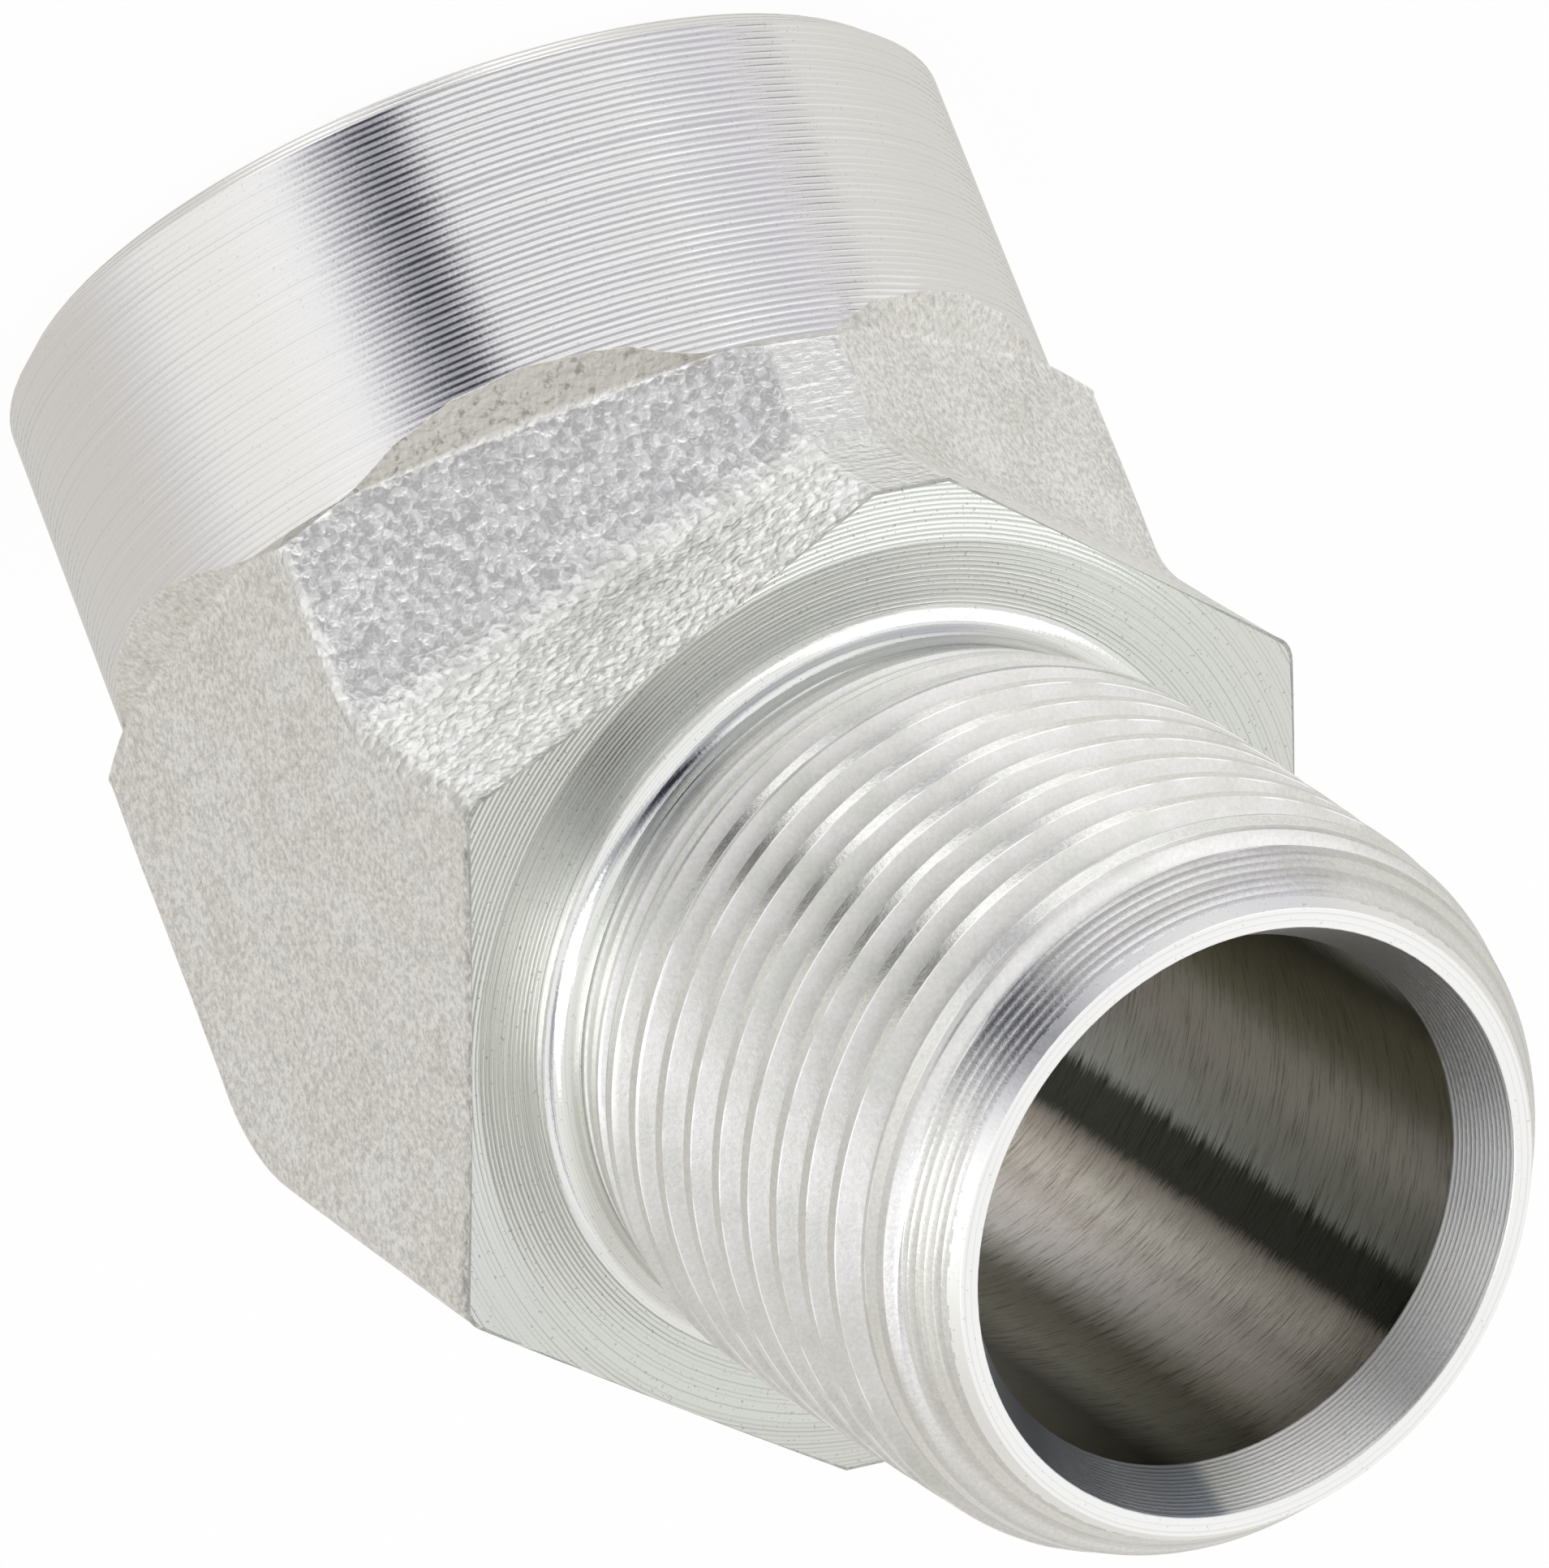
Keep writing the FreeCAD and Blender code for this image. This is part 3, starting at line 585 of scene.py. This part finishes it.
def thread_finish():
    """Zinc-plated cut thread: smooth pale flanks, painted highlights along the crests' edges, and roots
    painted whiter.
    """
    material, tree, shader, place = new_steel("zinc_plated_cut_thread", 0.3, 0.35)
    arm = add_node(tree, "ShaderNodeVectorMath", place, tuple(bend_centre), operation="SUBTRACT")
    along = add_node(tree, "ShaderNodeVectorMath", arm, tuple(male_axis), operation="DOT_PRODUCT")
    angle = angle_round_male_axis(tree, place)
    turns = add_node(tree, "ShaderNodeMath", angle, -1 / math.tau, operation="MULTIPLY")
    phase = add_node(tree, "ShaderNodeMath", along.outputs["Value"], 1 / pitch, turns,
                     operation="MULTIPLY_ADD")
    phase = add_node(tree, "ShaderNodeMath", phase, crest_phase / pitch, operation="SUBTRACT")
    off_crest = add_node(tree, "ShaderNodeMath", phase, 0.5, operation="PINGPONG")
    on_crest = add_node(tree, "ShaderNodeMath", off_crest, half_crest / pitch, operation="LESS_THAN")
    grit = add_node(tree, "ShaderNodeTexNoise", {"Vector": place, "Scale": 6.0, "Detail": 5.0,
                                                 "Roughness": 0.72})
    pits = add_node(tree, "ShaderNodeTexNoise", {"Vector": place, "Scale": 1.9, "Detail": 6.0,
                                                 "Roughness": 0.75})
    drift = add_node(tree, "ShaderNodeTexNoise", {"Vector": place, "Scale": 0.5, "Detail": 2.0})
    # the lead-in at the tip is turned, one tool mark each quarter of a millimetre
    half_mark = 0.125
    off_centre = add_node(tree, "ShaderNodeMath", along.outputs["Value"], half_mark,
                          operation="PINGPONG")
    scallop = add_node(tree, "ShaderNodeMath", off_centre, 2.0, operation="POWER")
    lead_in = add_node(tree, "ShaderNodeMapRange", {"Value": along.outputs["Value"], "From Min": 33.6,
                                                    "From Max": 33.9})
    arc = add_node(tree, "ShaderNodeMath", scallop, 0.012 / half_mark ** 2 * MM, operation="MULTIPLY")
    arc = add_node(tree, "ShaderNodeMath", arc, lead_in, operation="MULTIPLY")
    height = add_node(tree, "ShaderNodeMath", grit, 0.009 * MM, arc, operation="MULTIPLY_ADD")
    bump = add_node(tree, "ShaderNodeBump", {"Height": height, "Distance": 1.0})
    tree.links.new(bump.outputs[0], shader.inputs["Normal"])
    tree.links.new(grooves_across(tree, place, bend_centre, male_axis).outputs[0],
                   shader.inputs["Tangent"])
    tint = add_node(tree, "ShaderNodeMapRange", {"Value": drift, "From Min": 0.35, "From Max": 0.65})
    base = add_node(tree, "ShaderNodeMix", {"Factor": tint, "A": linear("#dadad5"),
                                            "B": linear("#e4e2e0")}, data_type="RGBA")
    # painted light: the roots are painted whiter, against the shade that falls in them
    root_painted_light = add_node(tree, "ShaderNodeMapRange", {"Value": off_crest, "From Min": 0.24, "From Max": 0.42,
                                                "To Max": 0.6})
    base = add_node(tree, "ShaderNodeMix", {"Factor": root_painted_light, "A": base.outputs["Result"],
                                            "B": linear("#ffffff")}, data_type="RGBA")
    base = add_node(tree, "ShaderNodeMix", {"Factor": on_crest, "A": base.outputs["Result"],
                                            "B": linear("#eeeeea")}, data_type="RGBA")
    mottled = add_node(tree, "ShaderNodeMapRange", {"Value": grit, "From Min": 0.35, "From Max": 0.65,
                                                    "To Min": 0.9, "To Max": 1.06})
    base = add_node(tree, "ShaderNodeVectorMath", {0: base.outputs["Result"], "Scale": mottled},
                    operation="SCALE")
    pitted = add_node(tree, "ShaderNodeMapRange", {"Value": pits, "From Min": 0.68, "From Max": 0.73,
                                                   "To Max": 0.6})
    base = add_node(tree, "ShaderNodeMix", {"Factor": pitted, "A": base, "B": linear("#7f8088")},
                    data_type="RGBA")
    # painted highlight: a thin white line along each crest's edges, where a burr catches light, broken
    # here and there
    off_edge = add_node(tree, "ShaderNodeMath", off_crest, half_crest / pitch, 0.011,
                        operation="COMPARE")
    kept = add_node(tree, "ShaderNodeMapRange", {"Value": drift, "From Min": 0.42, "From Max": 0.56})
    burr_and_crest_highlight = add_node(tree, "ShaderNodeMath", off_edge, kept, operation="MULTIPLY")
    below_lead_in = add_node(tree, "ShaderNodeMath", along.outputs["Value"], 33.2,
                             operation="LESS_THAN")
    burr_and_crest_highlight = add_node(tree, "ShaderNodeMath", burr_and_crest_highlight, below_lead_in, operation="MULTIPLY")
    base = add_node(tree, "ShaderNodeMix", {"Factor": burr_and_crest_highlight, "A": base.outputs["Result"],
                                            "B": linear("#ffffff")}, data_type="RGBA")
    tree.links.new(base.outputs["Result"], shader.inputs["Base Color"])
    # crests are left as turned, smoother than the flanks
    flank = add_node(tree, "ShaderNodeMapRange", {"Value": grit, "To Min": 0.24, "To Max": 0.4})
    smooth = add_node(tree, "ShaderNodeMath", on_crest, lead_in, operation="MAXIMUM")
    roughness = add_node(tree, "ShaderNodeMapRange", {"Value": smooth, "To Min": flank, "To Max": 0.15})
    tree.links.new(roughness.outputs[0], shader.inputs["Roughness"])
    return material


thread_steel = thread_finish()


def thread_tree():
    """Geometry Nodes that wrap a grid round an axis as a sleeve, and cut a thread into it."""
    tree = bpy.data.node_groups.new("taper_thread", "GeometryNodeTree")
    for name in ("Columns", "Rows"):
        tree.interface.new_socket(name, in_out="INPUT", socket_type="NodeSocketInt")
    for name in ("Rows per turn", "Pitch", "Crest phase", "Start", "End", "Crest radius at zero",
                 "Taper", "Half crest", "Depth", "Hidden radius", "Outward", "Plain radius",
                 "Runout slope", "Runout radius at zero", "Lead slope", "Lead radius at zero",
                 "First crests slope", "First crests radius at zero"):
        tree.interface.new_socket(name, in_out="INPUT", socket_type="NodeSocketFloat")
    tree.interface.new_socket("Finish", in_out="INPUT", socket_type="NodeSocketMaterial")
    tree.interface.new_socket("Geometry", in_out="OUTPUT", socket_type="NodeSocketGeometry")

    # what is known of each point of the grid, by name
    known = {socket.name: socket for socket in tree.nodes.new("NodeGroupInput").outputs}
    blank = add_node(tree, "GeometryNodeMeshGrid",
                     {"Vertices X": known["Columns"], "Vertices Y": known["Rows"]})
    known["index"] = add_node(tree, "GeometryNodeInputIndex").outputs[0]
    steps = [
        # the point's column and row, and from them how far round the axis and up the helix it lies
        ("column", "DIVIDE", "index", "Rows"),
        ("column", "FLOOR", "column"),
        ("row", "MODULO", "index", "Rows"),
        ("last column", "SUBTRACT", "Columns", 1.0),
        ("turn", "DIVIDE", "column", "last column"),
        ("turns below", "SUBTRACT", "turn", 1.0),
        ("turns up", "SUBTRACT", "row", 1.0),
        ("turns up", "DIVIDE", "turns up", "Rows per turn"),
        ("turns up", "ADD", "turns up", "turns below"),
        ("rise", "MULTIPLY", "turns up", "Pitch"),
        ("along", "ADD", "Start", "rise"),
        ("along", "MAXIMUM", "along", "Start"),
        ("along", "MINIMUM", "along", "End"),
        # how far it is from the nearest crest, and how deep the flank has sunk there
        ("phase", "SUBTRACT", "along", "Crest phase"),
        ("phase", "DIVIDE", "phase", "Pitch"),
        ("phase", "SUBTRACT", "phase", "turn"),
        ("nearest crest", "ROUND", "phase"),
        ("off crest", "SUBTRACT", "phase", "nearest crest"),
        ("off crest", "ABSOLUTE", "off crest"),
        ("off crest", "MULTIPLY", "off crest", "Pitch"),
        ("sunk", "SUBTRACT", "off crest", "Half crest"),
        ("sunk", "MULTIPLY", "sunk", math.tan(math.radians(60))),
        ("sunk", "MAXIMUM", "sunk", 0.0),
        ("sunk", "MINIMUM", "sunk", "Depth"),
        # Outward is 1 for the male thread and -1 for the female one, which is cut the other way
        ("crest", "MULTIPLY_ADD", "along", "Taper", "Crest radius at zero"),
        ("crest", "MULTIPLY", "crest", "Outward"),
        ("cut", "SUBTRACT", "crest", "sunk"),
        # the cones that cut the thread away at its ends, and the plain blank or hole under it
        ("runout", "MULTIPLY_ADD", "along", "Runout slope", "Runout radius at zero"),
        ("runout", "MULTIPLY", "runout", "Outward"),
        ("cut", "MINIMUM", "cut", "runout"),
        ("lead", "MULTIPLY_ADD", "along", "Lead slope", "Lead radius at zero"),
        ("lead", "MULTIPLY", "lead", "Outward"),
        ("cut", "MINIMUM", "cut", "lead"),
        ("first crests", "MULTIPLY_ADD", "along", "First crests slope", "First crests radius at zero"),
        ("first crests", "MULTIPLY", "first crests", "Outward"),
        ("cut", "MINIMUM", "cut", "first crests"),
        ("plain", "MULTIPLY", "Plain radius", "Outward"),
        ("cut", "MINIMUM", "cut", "plain"),
        ("surface", "MULTIPLY", "cut", "Outward"),
        # the first row and the last two close the sleeve behind its surface, inside the metal
        ("is first", "LESS_THAN", "row", 0.5),
        ("last rows", "SUBTRACT", "Rows", 2.5),
        ("is last", "GREATER_THAN", "row", "last rows"),
        ("hidden", "MAXIMUM", "is first", "is last"),
        ("shown", "SUBTRACT", 1.0, "hidden"),
        ("shown", "MULTIPLY", "surface", "shown"),
        ("behind", "MULTIPLY", "Hidden radius", "hidden"),
        ("radius", "ADD", "shown", "behind"),
        ("last row", "SUBTRACT", "Rows", 1.5),
        ("closing", "GREATER_THAN", "row", "last row"),
        ("open", "SUBTRACT", 1.0, "closing"),
        ("along", "MULTIPLY", "along", "open"),
        ("along", "MULTIPLY_ADD", "Start", "closing", "along"),
        ("angle", "MULTIPLY", "turn", math.tau),
        ("x", "COSINE", "angle"),
        ("x", "MULTIPLY", "radius", "x"),
        ("y", "SINE", "angle"),
        ("y", "MULTIPLY", "radius", "y"),
    ]
    for name, operation, *operands in steps:
        values = [known.get(operand, operand) for operand in operands]
        known[name] = add_node(tree, "ShaderNodeMath", *values, operation=operation).outputs[0]
    point = add_node(tree, "ShaderNodeCombineXYZ", known["x"], known["y"], known["along"])
    metres = add_node(tree, "ShaderNodeVectorMath", point, (MM, MM, MM), operation="MULTIPLY")
    sleeve = add_node(tree, "GeometryNodeSetPosition",
                      {"Geometry": blank.outputs[0], "Position": metres})
    sewn = add_node(tree, "GeometryNodeMergeByDistance", {"Geometry": sleeve, "Distance": 4e-7})
    real = add_node(tree, "GeometryNodeRealizeInstances", sewn)
    finished = add_node(tree, "GeometryNodeSetMaterial",
                        {"Geometry": real, "Material": known["Finish"]})
    add_node(tree, "NodeGroupOutput", finished)
    return tree


taper_thread = thread_tree()


def cut_thread(name, stand, finish, sizes):
    """Evaluate the thread tree into a plain mesh, and put it on its axis."""
    piece = bpy.data.objects.new(name, bpy.data.meshes.new(name))
    bpy.context.scene.collection.objects.link(piece)
    modifier = piece.modifiers.new("thread", "NODES")
    modifier.node_group = taper_thread
    identifiers = {item.name: item.identifier for item in taper_thread.interface.items_tree
                   if item.in_out == "INPUT"}
    for key, value in sizes.items():
        modifier[identifiers[key]] = value
    modifier[identifiers["Finish"]] = finish
    evaluated = piece.evaluated_get(bpy.context.evaluated_depsgraph_get())
    mesh = bpy.data.meshes.new_from_object(evaluated)
    piece.modifiers.clear()
    piece.data = mesh
    mesh.transform(stand)
    shaped = bmesh.new()
    shaped.from_mesh(mesh)
    bmesh.ops.recalc_face_normals(shaped, faces=shaped.faces)
    for face in shaped.faces:
        face.smooth = True
    sharpest_soft_angle = math.radians(12)
    for crease in shaped.edges:
        if len(crease.link_faces) == 2 and crease.calc_face_angle(0.0) > sharpest_soft_angle:
            crease.smooth = False
    shaped.to_mesh(mesh)
    print(name, len(shaped.faces), "faces", shaped.calc_volume(signed=True) * 1e9)
    shaped.free()
    return piece


male_stand = Matrix.Translation(Vector(bend_centre * MM)) @ Matrix(
    ((male_side[0], 0.0, male_axis[0], 0.0), (0.0, 1.0, 0.0, 0.0),
     (male_side[2], 0.0, male_axis[2], 0.0), (0.0, 0.0, 0.0, 1.0)))
# the male thread's sleeve starts a whole number of rows past a crest, inside the neck; the cones
# are the runout behind the thread, the lead-in at the tip and the cut through the first crests
runout_slope = 0.85 / 3.75
lead_slope = 0.6963
first_crests_slope = 0.338
male_thread = cut_thread(
    "male_thread", male_stand, thread_steel,
    {"Columns": 193, "Rows": 322, "Rows per turn": 24.0, "Pitch": pitch, "Crest phase": crest_phase,
     "Start": crest_phase + (6 + 10 / 24) * pitch, "End": 35.6,
     "Crest radius at zero": tip_crest_radius + male_reach * taper, "Taper": -taper,
     "Half crest": half_crest, "Depth": 1.1, "Hidden radius": 10.95, "Outward": 1.0,
     "Plain radius": 13.5,
     "Runout slope": runout_slope, "Runout radius at zero": neck_radius - neck_end * runout_slope,
     "Lead slope": -lead_slope, "Lead radius at zero": 10.986 + male_reach * lead_slope,
     "First crests slope": -first_crests_slope,
     "First crests radius at zero": 12.48 + 33.81 * first_crests_slope})
# the port's thread starts at the bottom of its countersink, whose cone is the runout's
port_thread = cut_thread(
    "port_thread", Matrix.Identity(4), drilled,
    {"Columns": 145, "Rows": 158, "Rows per turn": 16.0, "Pitch": pitch, "Crest phase": 0.4,
     "Start": 0.2, "End": 15.41,
     "Crest radius at zero": 11.95, "Taper": -taper, "Half crest": half_crest,
     "Depth": 1.2, "Hidden radius": 13.8, "Outward": -1.0, "Plain radius": port_radius,
     "Runout slope": -1.0, "Runout radius at zero": 13.804,
     "Lead slope": 0.0, "Lead radius at zero": port_radius,
     "First crests slope": 0.0, "First crests radius at zero": port_radius})

for piece in (forging_piece, male_thread, port_thread):
    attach(piece, "root")
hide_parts("elbow_body")


# The studio: the elbow stands on its boss on a white table under wide soft lamps.

half_table = 4.0
table_corners = [(-half_table, -half_table, 0), (half_table, -half_table, 0),
                 (half_table, half_table, 0), (-half_table, half_table, 0)]
table_mesh = bpy.data.meshes.new("table")
table_mesh.from_pydata(table_corners, [], [(0, 1, 2, 3)])
table = bpy.data.objects.new("table", table_mesh)
bpy.context.scene.collection.objects.link(table)
table.location.z = -0.2 * MM
# seen by the camera the table is plain white; to the steel it is open, so the room below shows
table_paint = bpy.data.materials.new("white_table")
table_paint.use_nodes = True
table_tree = table_paint.node_tree
paint = table_tree.nodes["Principled BSDF"]
paint.inputs["Base Color"].default_value = linear("#fbfbfb")
paint.inputs["Roughness"].default_value = 0.9
ray = add_node(table_tree, "ShaderNodeLightPath")
glow = add_node(table_tree, "ShaderNodeEmission", {"Color": (1, 1, 1, 1), "Strength": 1.0})
open_air = add_node(table_tree, "ShaderNodeBsdfTransparent")
glowing = add_node(table_tree, "ShaderNodeMath", ray.outputs["Is Camera Ray"], 0.95,
                   operation="MULTIPLY")
seen = add_node(table_tree, "ShaderNodeMixShader", glowing, paint.outputs[0], glow)
mirrored = add_node(table_tree, "ShaderNodeMixShader", ray.outputs["Is Glossy Ray"], seen, open_air)
table_tree.links.new(mirrored.outputs[0], table_tree.nodes["Material Output"].inputs["Surface"])
table_mesh.materials.append(table_paint)

# the room, as the steel mirrors it: soft white panels with a few grey gaps between them
world = bpy.data.worlds.new("studio")
bpy.context.scene.world = world
world.use_nodes = True
room = world.node_tree
direction = add_node(room, "ShaderNodeTexCoord").outputs["Generated"]
compass = add_node(room, "ShaderNodeSeparateXYZ", direction)
bearing = add_node(room, "ShaderNodeMath", compass.outputs["Y"], compass.outputs["X"],
                   operation="ARCTAN2")
around = add_node(room, "ShaderNodeMath", bearing, 1 / math.tau, 0.5, operation="MULTIPLY_ADD")
panels = add_node(room, "ShaderNodeValToRGB", around)
fill_ramp(panels.color_ramp,
          [(-180, "#d2d0cc"), (-130, "#dbd9d4"), (-73, "#e0dfdb"), (-55, "#dad9d9"), (-45, "#c6c3cd"),
           (-39, "#c4c4ca"), (-20, "#c8c8cc"), (4, "#bebec4"), (27, "#b6b6bc"), (34, "#5e606b"),
           (38, "#1e202c"), (44, "#2a2c38"), (49, "#74767f"), (56, "#b2b2ba"), (64, "#f8f8fa"),
           (90, "#f4f3ef"), (105, "#f0f0f0"), (118, "#d9d8db"), (131, "#d2cfcb"), (180, "#d2d0cc")])
# the panels and gaps stand at the level of the table; above and below them the room is even
off_level = add_node(room, "ShaderNodeMath", compass.outputs["Z"], -0.34, operation="SUBTRACT")
off_level = add_node(room, "ShaderNodeMath", off_level, operation="ABSOLUTE")
even = add_node(room, "ShaderNodeMapRange", {"Value": off_level, "From Min": 0.14, "From Max": 0.32},
                interpolation_type="SMOOTHSTEP")
softened = add_node(room, "ShaderNodeValToRGB", around)
fill_ramp(softened.color_ramp, [(-180, "#dedcd8"), (-130, "#e2e1dd"), (-60, "#f6f6f4"), (-45, "#eeedf0"),
                                (-20, "#ffffff"), (28, "#ffffff"), (42, "#9a9aa4"), (60, "#f0f0f2"),
                                (70, "#fdfdfd"), (100, "#f0f0ec"), (131, "#dad8d4"), (180, "#dedcd8")])
sky = add_node(room, "ShaderNodeMix",
               {"Factor": even, "A": panels.outputs["Color"], "B": softened.outputs["Color"]},
               data_type="RGBA").outputs["Result"]
# straight below lies the lit table, the brightest thing in the room
below = add_node(room, "ShaderNodeMapRange", {"Value": compass.outputs["Z"], "From Min": -0.87,
                                              "From Max": -0.95}, interpolation_type="SMOOTHSTEP")
sky = add_node(room, "ShaderNodeMix", {"Factor": below, "A": sky, "B": (1.25, 1.25, 1.25, 1.0)},
               data_type="RGBA").outputs["Result"]
# three small dark things at the table's edge: where they stand, how wide they are, their colour
for bearing_angle, tilt, half_width, code in ((122, -63, 7.0, "#15161f"),
                                              (-153, -81, 6.0, "#8e8e98"),
                                              (-70, -40, 5.0, "#8b8c94")):
    aim = (math.cos(math.radians(tilt)) * math.cos(math.radians(bearing_angle)),
           math.cos(math.radians(tilt)) * math.sin(math.radians(bearing_angle)),
           math.sin(math.radians(tilt)))
    towards = add_node(room, "ShaderNodeVectorMath", direction, aim, operation="DOT_PRODUCT")
    outer_edge = math.cos(math.radians(half_width * 1.6))
    inner_edge = math.cos(math.radians(half_width * 0.5))
    within = add_node(room, "ShaderNodeMapRange",
                      {"Value": towards.outputs["Value"], "From Min": outer_edge,
                       "From Max": inner_edge}, interpolation_type="SMOOTHSTEP")
    sky = add_node(room, "ShaderNodeMix", {"Factor": within, "A": sky, "B": linear(code)},
                   data_type="RGBA").outputs["Result"]
room.links.new(sky, room.nodes["Background"].inputs["Color"])
room.nodes["Background"].inputs["Strength"].default_value = 1.0

# the camera as solved from the photograph, whose bottom edge points up
photo_width = 1909
focal_length_in_pixels = 17957.54
sensor_width = 36.0
camera_place = Vector((0.422707, 0.232784, 0.180618))
camera_right = Vector((0.356013, -0.868300, 0.345413))
camera_up = Vector((0.430389, -0.175740, -0.885371))
camera_back = Vector((0.829470, 0.463866, 0.311141))
camera_data = bpy.data.cameras.new("camera")
camera = bpy.data.objects.new("camera", camera_data)
bpy.context.scene.collection.objects.link(camera)
camera_turn = Matrix((camera_right, camera_up, camera_back)).transposed().to_4x4()
camera.matrix_world = Matrix.Translation(camera_place) @ camera_turn
camera_data.sensor_fit = "HORIZONTAL"
camera_data.sensor_width = sensor_width
camera_data.lens = focal_length_in_pixels / photo_width * sensor_width
camera_data.clip_start = 0.01
camera_data.clip_end = 20.0
bpy.context.scene.camera = camera

# two wide weak lamps, for the soft shadow on the table
lamp_width = 0.8
lamp_target = Vector((0, 0, 0.03))
for name, lamp_place, power in (("key", (0.5, 0.9, 0.7), 2.0), ("fill", (0.9, -0.6, 0.5), 1.0)):
    lamp_data = bpy.data.lights.new(name, "AREA")
    lamp_data.size = lamp_width
    lamp_data.energy = power
    lamp = bpy.data.objects.new(name, lamp_data)
    bpy.context.scene.collection.objects.link(lamp)
    lamp.location = lamp_place
    lamp.rotation_euler = (lamp_target - Vector(lamp_place)).to_track_quat("-Z", "Y").to_euler()
bpy.context.scene.view_settings.view_transform = "Standard"
